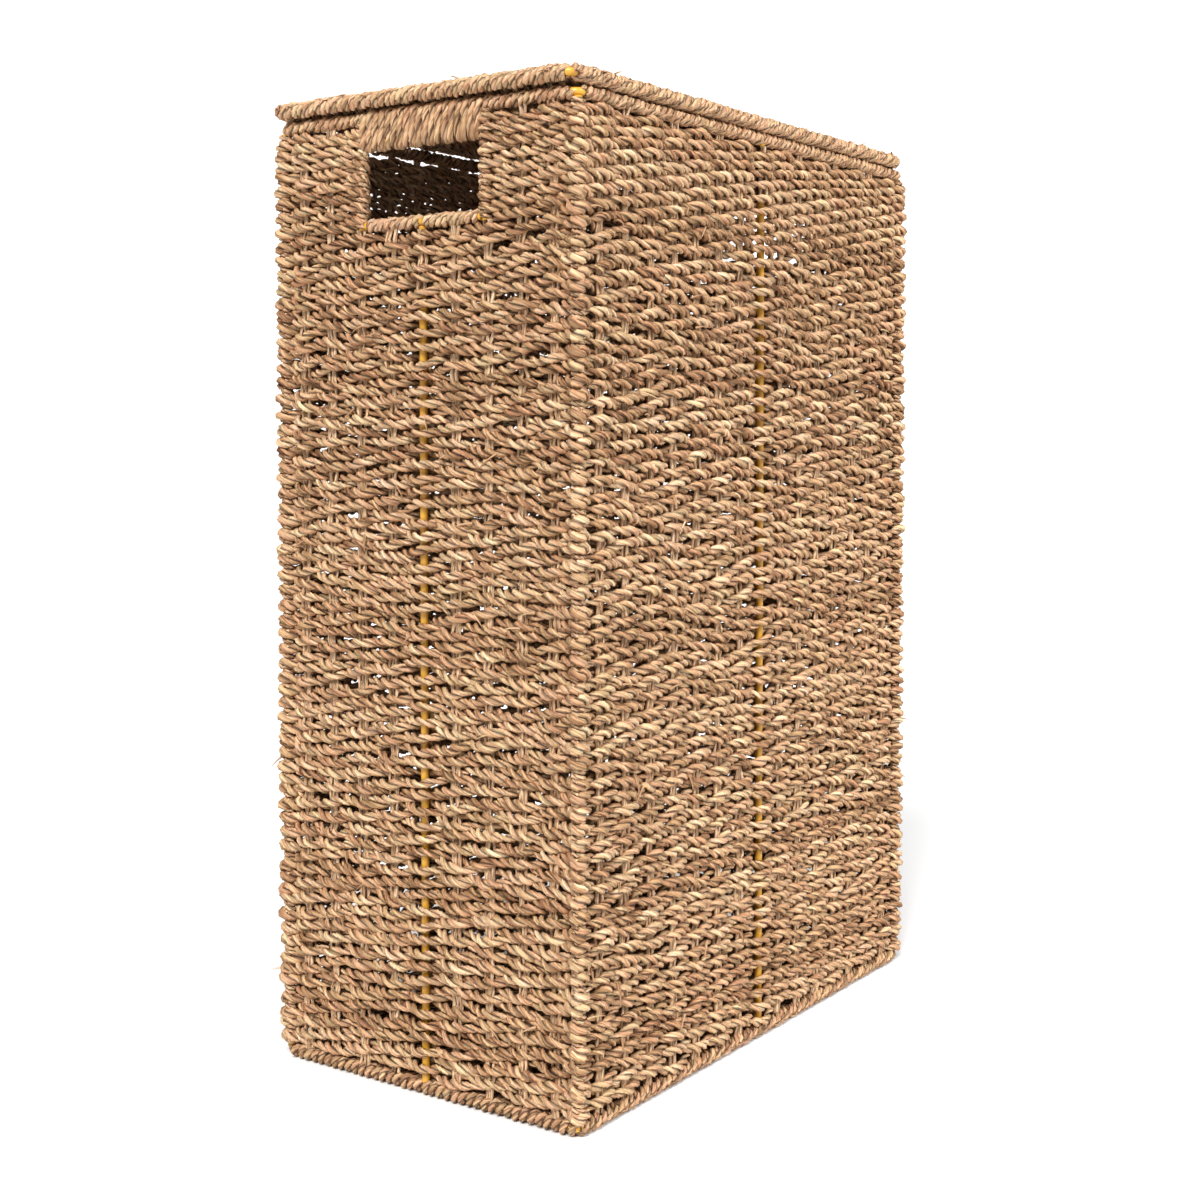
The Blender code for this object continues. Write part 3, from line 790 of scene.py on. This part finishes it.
def cutRing(points, bare):
    # the ring in lengths, without the points where bare(point) is true
    marks = [bare(p) for p in points]
    if not any(marks):
        return [(points, True, chance.random())]
    begin = marks.index(True)
    lengths, run = [], []
    for i in range(len(points) + 1):
        at = (begin + i) % len(points)
        if marks[at]:
            if len(run) > 2:
                lengths.append((run, False, chance.random()))
            run = []
        else:
            run.append(points[at])
    return lengths


def nearHinge(p):
    return p.y > 0 and abs(abs(p.x) - hingeX) < edging["gapAtHinge"] + 0.0006


gripLow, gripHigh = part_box("grip_winding_left")


def atGrip(p):
    return abs(p.x) > postX - 0.002 and gripLow.y < p.y < gripHigh.y


def atCorner(p, low, bare):
    # the bend where the winding begins and ends, which leaves the rod bare
    return (Vector((p.x, p.y)) - Vector((low.x, low.y))).length < rodRadius * 1.5 + bare


# the runs whose turns get a sleeve of painted shade underneath
paintedShadeRuns = {"basket": uprightHeads, "lid": []}


def woundEdge(name, runs, wound, pitch, body, nodes, seed, extra=None):
    values = {"Thickness": edging["strandThickness"], "Lay length": edging["lay"], "Groove": 0.38,
              "Sides": 9, "Step": 0.0022, "Unevenness": 0.5, "Lumps": 150.0, "Turn pitch": pitch,
              "Wound radius": wound, "Half height": 0.0, "Looseness": 0.0007, "Seed": seed,
              "Material": windingGrass, **(extra or {})}
    piece = grow(name, runs, winding, values)
    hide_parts(*nodes)
    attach(piece, body)
    if values["Half height"] == 0.0:
        paintedShadeRuns[body] += runs


def bindingRadius(node):
    return span(node).z / 2


def woundRadius(node):
    return bindingRadius(node) - edging["strandThickness"] * 0.42


def bareOnRim(p):
    return nearHinge(p) or atGrip(p) or atCorner(p, rimLow, edging["bareRim"])


def bareOnLid(p):
    return nearHinge(p) or atCorner(p, lidLow, edging["bareLid"])


woundEdge("baseEdging", cutRing(dense(baseRing, True), lambda p: False), edging["baseWound"],
          edging["basePitch"], "basket",
          ["base_binding_front", "base_binding_back", "base_binding_left", "base_binding_right"], 3.0,
          {"Thickness": edging["baseThickness"], "Looseness": 0.0005})
woundEdge("rimEdging", cutRing(dense(rimRing, True, 0.001), bareOnRim),
          woundRadius("rim_binding_front"), edging["rimPitch"], "basket",
          ["rim_binding_front", "rim_binding_back_left", "rim_binding_back_middle",
           "rim_binding_back_right", "rim_binding_left_front", "rim_binding_left_back",
           "rim_binding_right_front", "rim_binding_right_back"], 5.0)
woundEdge("lidEdging", cutRing(dense(lidRing, True, 0.001), bareOnLid),
          woundRadius("lid_binding_front"), edging["lidPitch"], "lid",
          ["lid_binding_front", "lid_binding_left", "lid_binding_right", "lid_binding_back_left",
           "lid_binding_back_middle", "lid_binding_back_right"], 7.0)
sills = []
for end in ("left", "right"):
    low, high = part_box(f"sill_binding_{end}")
    mid = (low + high) / 2
    for side in (-1, 1):
        ends = [Vector((mid.x, side * y, sillRod)) for y in (edging["bareSill"], high.y)]
        sills.append((dense(ends[::side], False), False, chance.random()))
woundEdge("sillEdging", sills, woundRadius("sill_binding_left"), edging["sillPitch"], "basket",
          ["sill_binding_left", "sill_binding_right"], 9.0)
grip = {"thickness": 0.0062, "lay": 0.0230, "pitch": 0.0050, "beyondHole": 0.0020}
grips = []
for end in ("left", "right"):
    low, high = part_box(f"grip_winding_{end}")
    mid = (low + high) / 2
    ends = [Vector((mid.x, y, mid.z)) for y in (low.y - grip["beyondHole"], high.y + grip["beyondHole"])]
    grips.append((dense(ends, False), False, chance.random()))
gripSize = span("grip_winding_left")
woundEdge("gripEdging", grips, gripSize.x / 2 - 0.0024, grip["pitch"], "basket",
          ["grip_winding_left", "grip_winding_right"], 11.0,
          {"Thickness": grip["thickness"], "Lay length": grip["lay"], "Groove": 0.42,
           "Half height": (gripSize.z - gripSize.x) / 2,
           "Unevenness": 0.4, "Lumps": 90.0, "Looseness": 0.0004})
# under the rows a thin strand goes round every post and jamb
underWinding = {"thickness": 0.0034, "pitch": 0.0032, "radius": rodRadius + 0.0006}
bound = []
for node in jambs + posts:
    low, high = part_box(node)
    mid = (low + high) / 2
    top = min(high.z, wallTop + 0.001)
    ends = [Vector((mid.x, mid.y, z)) for z in (low.z + 0.001, top)]
    bound.append((dense(ends, False, 0.006), False, chance.random()))
besideHoles = [f"weave_{end}_{part}" for end in ("left", "right") for part in ("front", "back")]
woundEdge("postWinding", bound, underWinding["radius"], underWinding["pitch"], "basket",
          besideHoles + postBindings, 13.0,
          {"Thickness": underWinding["thickness"], "Sides": 6, "Step": 0.0030, "Looseness": 0.0003})

# leaf ends that have worked loose from the walls
loose = {"count": 260, "length": (0.005, 0.012), "thickness": 0.0018, "standOff": (0.0006, 0.0030)}


def looseEnd():
    wall = chance.choice(("front", "front", "back", "back", "left", "right"))
    out, ahead, depth, half = {"front": (Vector((0, -1, 0)), Vector((1, 0, 0)), postY, postX),
                               "back": (Vector((0, 1, 0)), Vector((-1, 0, 0)), postY, postX),
                               "left": (Vector((-1, 0, 0)), Vector((0, -1, 0)), postX, postY),
                               "right": (Vector((1, 0, 0)), Vector((0, 1, 0)), postX, postY)}[wall]
    top = sillRod - 0.02 if wall in ("left", "right") else wallTop - 0.01
    root = out * (depth + 0.0042) + ahead * chance.uniform(-half, half)
    root += Vector((0, 0, chance.uniform(wallBottom + 0.01, top)))
    heading = (ahead * chance.choice((-1, 1)) + Vector((0, 0, chance.gauss(-0.15, 0.45)))).normalized()
    length, rise = chance.uniform(*loose["length"]), chance.uniform(*loose["standOff"])
    points = []
    for i in range(5):
        share = i / 4
        lift = rise * math.sin(share * math.pi * 0.6) * 1.4 + share * share * rise
        away = out * (lift - 0.0008 * (1 - share))
        point = root + heading * length * share + away + Vector((0, 0, -0.003 * share * share))
        points.append(plumper(point, 1.3 - 1.0 * share))
    return points, False, chance.random()


for body, runs in paintedShadeRuns.items():
    # a sleeve along the rod under the turns, its dark colour painted shade in the gaps between them, so
    # that no lacquer shows between them
    wrap = grow(body + "PaintedShadeSleeve", runs, laidRope,
                {"Thickness": rodRadius * 2 + 0.0004, "Lay length": 0.4, "Groove": 0.0, "Sides": 10,
                 "Step": 0.0035, "Unevenness": 0.0, "Twist drift": 0.0, "Seed": 19.0,
                 "Material": paintedShadeGrass})
    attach(wrap, body)

looseEnds = grow("looseEnds", [looseEnd() for i in range(loose["count"])], laidRope,
                 {**ropeValues, "Thickness": loose["thickness"], "Lay length": 0.03, "Groove": 0.55,
                  "Sides": 6, "Step": 0.0022, "Twist drift": 0.0, "Unevenness": 0.4, "Seed": 17.0})
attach(looseEnds, "basket")


def looseAtEdge(ring, radius):
    # a short end that sticks out from the winding of a ring
    i = chance.randrange(len(ring))
    at, following = ring[i], ring[(i + 1) % len(ring)]
    along = (following - at).normalized()
    out = along.cross(Vector((0, 0, 1)))
    lean = math.radians(chance.uniform(-10, 80))
    away = out * math.cos(lean) + Vector((0, 0, math.sin(lean)))
    start = at.lerp(following, chance.random())
    heading = (away * chance.uniform(0.3, 0.8) + along * chance.choice((-1, 1))).normalized()
    length = chance.uniform(0.003, 0.007)
    points = []
    for i in range(4):
        droop = Vector((0, 0, 0.0006 * i * i / 3))
        point = start + away * radius * 0.9 + heading * length * i / 3 - droop
        points.append(plumper(point, 1.2 - 0.25 * i))
    return points, False, chance.random()


edgeEnds = [looseAtEdge(dense(lidRing, True), bindingRadius("lid_binding_front")) for i in range(70)]
lidLooseEnds = grow("lidLooseEnds", edgeEnds, laidRope,
                    {**ropeValues, "Thickness": 0.0015, "Lay length": 0.03, "Groove": 0.55, "Sides": 6,
                     "Step": 0.0015, "Twist drift": 0.0, "Unevenness": 0.4, "Seed": 23.0})
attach(lidLooseEnds, "lid")
print("windings done")

hingeRuns = []
for end in ("left", "right"):
    low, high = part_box(f"hinge_loop_{end}")
    mid = (low + high) / 2
    halfY = (high.y - low.y) / 2 - 0.0015
    halfZ = (high.z - low.z) / 2 - 0.0015
    for shift in (-0.0011, 0.0011):
        run = []
        for i in range(16):
            angle = 2 * math.pi * i / 16
            lift = math.copysign(halfZ - halfY, math.sin(angle)) if abs(math.sin(angle)) > 0.1 else 0.0
            run.append(mid + Vector((shift, halfY * math.cos(angle), halfY * math.sin(angle) + lift)))
        hingeRuns.append((run, True, chance.random()))
hinges = grow("ropeHinges", hingeRuns, laidRope,
              {"Thickness": 0.0025, "Lay length": 0.009, "Groove": 0.6, "Sides": 8, "Step": 0.0013,
               "Unevenness": 0.2, "Lumps": 200.0, "Material": windingGrass})
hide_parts("hinge_loop_left", "hinge_loop_right")
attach(hinges, "lid")

studio = {"floorSize": 60.0, "floorColor": (0.96, 0.96, 0.96, 1.0), "backdropStrength": 1.15,
          "skyStrength": 0.28, "keyPower": 3.32, "fillPower": 1.6}
floorMesh = bpy.data.meshes.new("floor")
half = studio["floorSize"] / 2
floorCorners = [(-half, -half, 0), (half, -half, 0), (half, half, 0), (-half, half, 0)]
floorMesh.from_pydata(floorCorners, [], [(0, 1, 2, 3)])
floor = bpy.data.objects.new("floor", floorMesh)
floor.location.z = -0.0006
scene.collection.objects.link(floor)
floorPaint, floorTree = newFinish("floorPaint")
floorTree.add("ShaderNodeOutputMaterial", None, {"Surface": floorTree.add(
    "ShaderNodeBsdfPrincipled", None, {"Base Color": studio["floorColor"], "Roughness": 0.7})})
floorMesh.materials.append(floorPaint)
floor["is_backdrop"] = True

world = bpy.data.worlds.new("studio")
scene.world = world
world.use_nodes = True
world.node_tree.nodes.clear()
sky = Tree(world.node_tree)
seen = sky.add("ShaderNodeLightPath", out="Is Camera Ray")
glow = seen * (studio["backdropStrength"] - studio["skyStrength"]) + studio["skyStrength"]
sky.add("ShaderNodeOutputWorld", None, {"Surface": sky.add(
    "ShaderNodeBackground", None, {"Color": (1.0, 1.0, 1.0, 1.0), "Strength": glow})})


def farLight(name, place, spread, power):
    # a large soft light so far off that the floor is evenly lit
    light = bpy.data.lights.new(name, "SUN")
    light.angle = math.radians(spread)
    light.energy = power
    lamp = bpy.data.objects.new(name, light)
    lamp.location = place
    lamp.rotation_euler = (-Vector(place)).to_track_quat("-Z", "Y").to_euler()
    scene.collection.objects.link(lamp)


farLight("keyLight", (-2.4, -0.9, 2.3), 24, studio["keyPower"])
farLight("fillLight", (0.3, -2.8, 2.1), 26, studio["fillPower"])

lens = bpy.data.cameras.new("camera")
lens.sensor_width = 36.0
lens.lens = 1741.1 / 1200 * 36.0
lens.shift_y = -110 / 1200
camera = bpy.data.objects.new("camera", lens)
camera.location = (-1.0002, -0.6896, 0.4072)
yaw, pitch = math.radians(54.86), math.radians(2.11)
sight = Vector((math.sin(yaw) * math.cos(pitch), math.cos(yaw) * math.cos(pitch), -math.sin(pitch)))
camera.rotation_euler = sight.to_track_quat("-Z", "Y").to_euler()
scene.collection.objects.link(camera)
scene.camera = camera
scene.view_settings.view_transform = "Standard"
scene.view_settings.look = "Medium High Contrast"
print("stage done")

low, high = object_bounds()
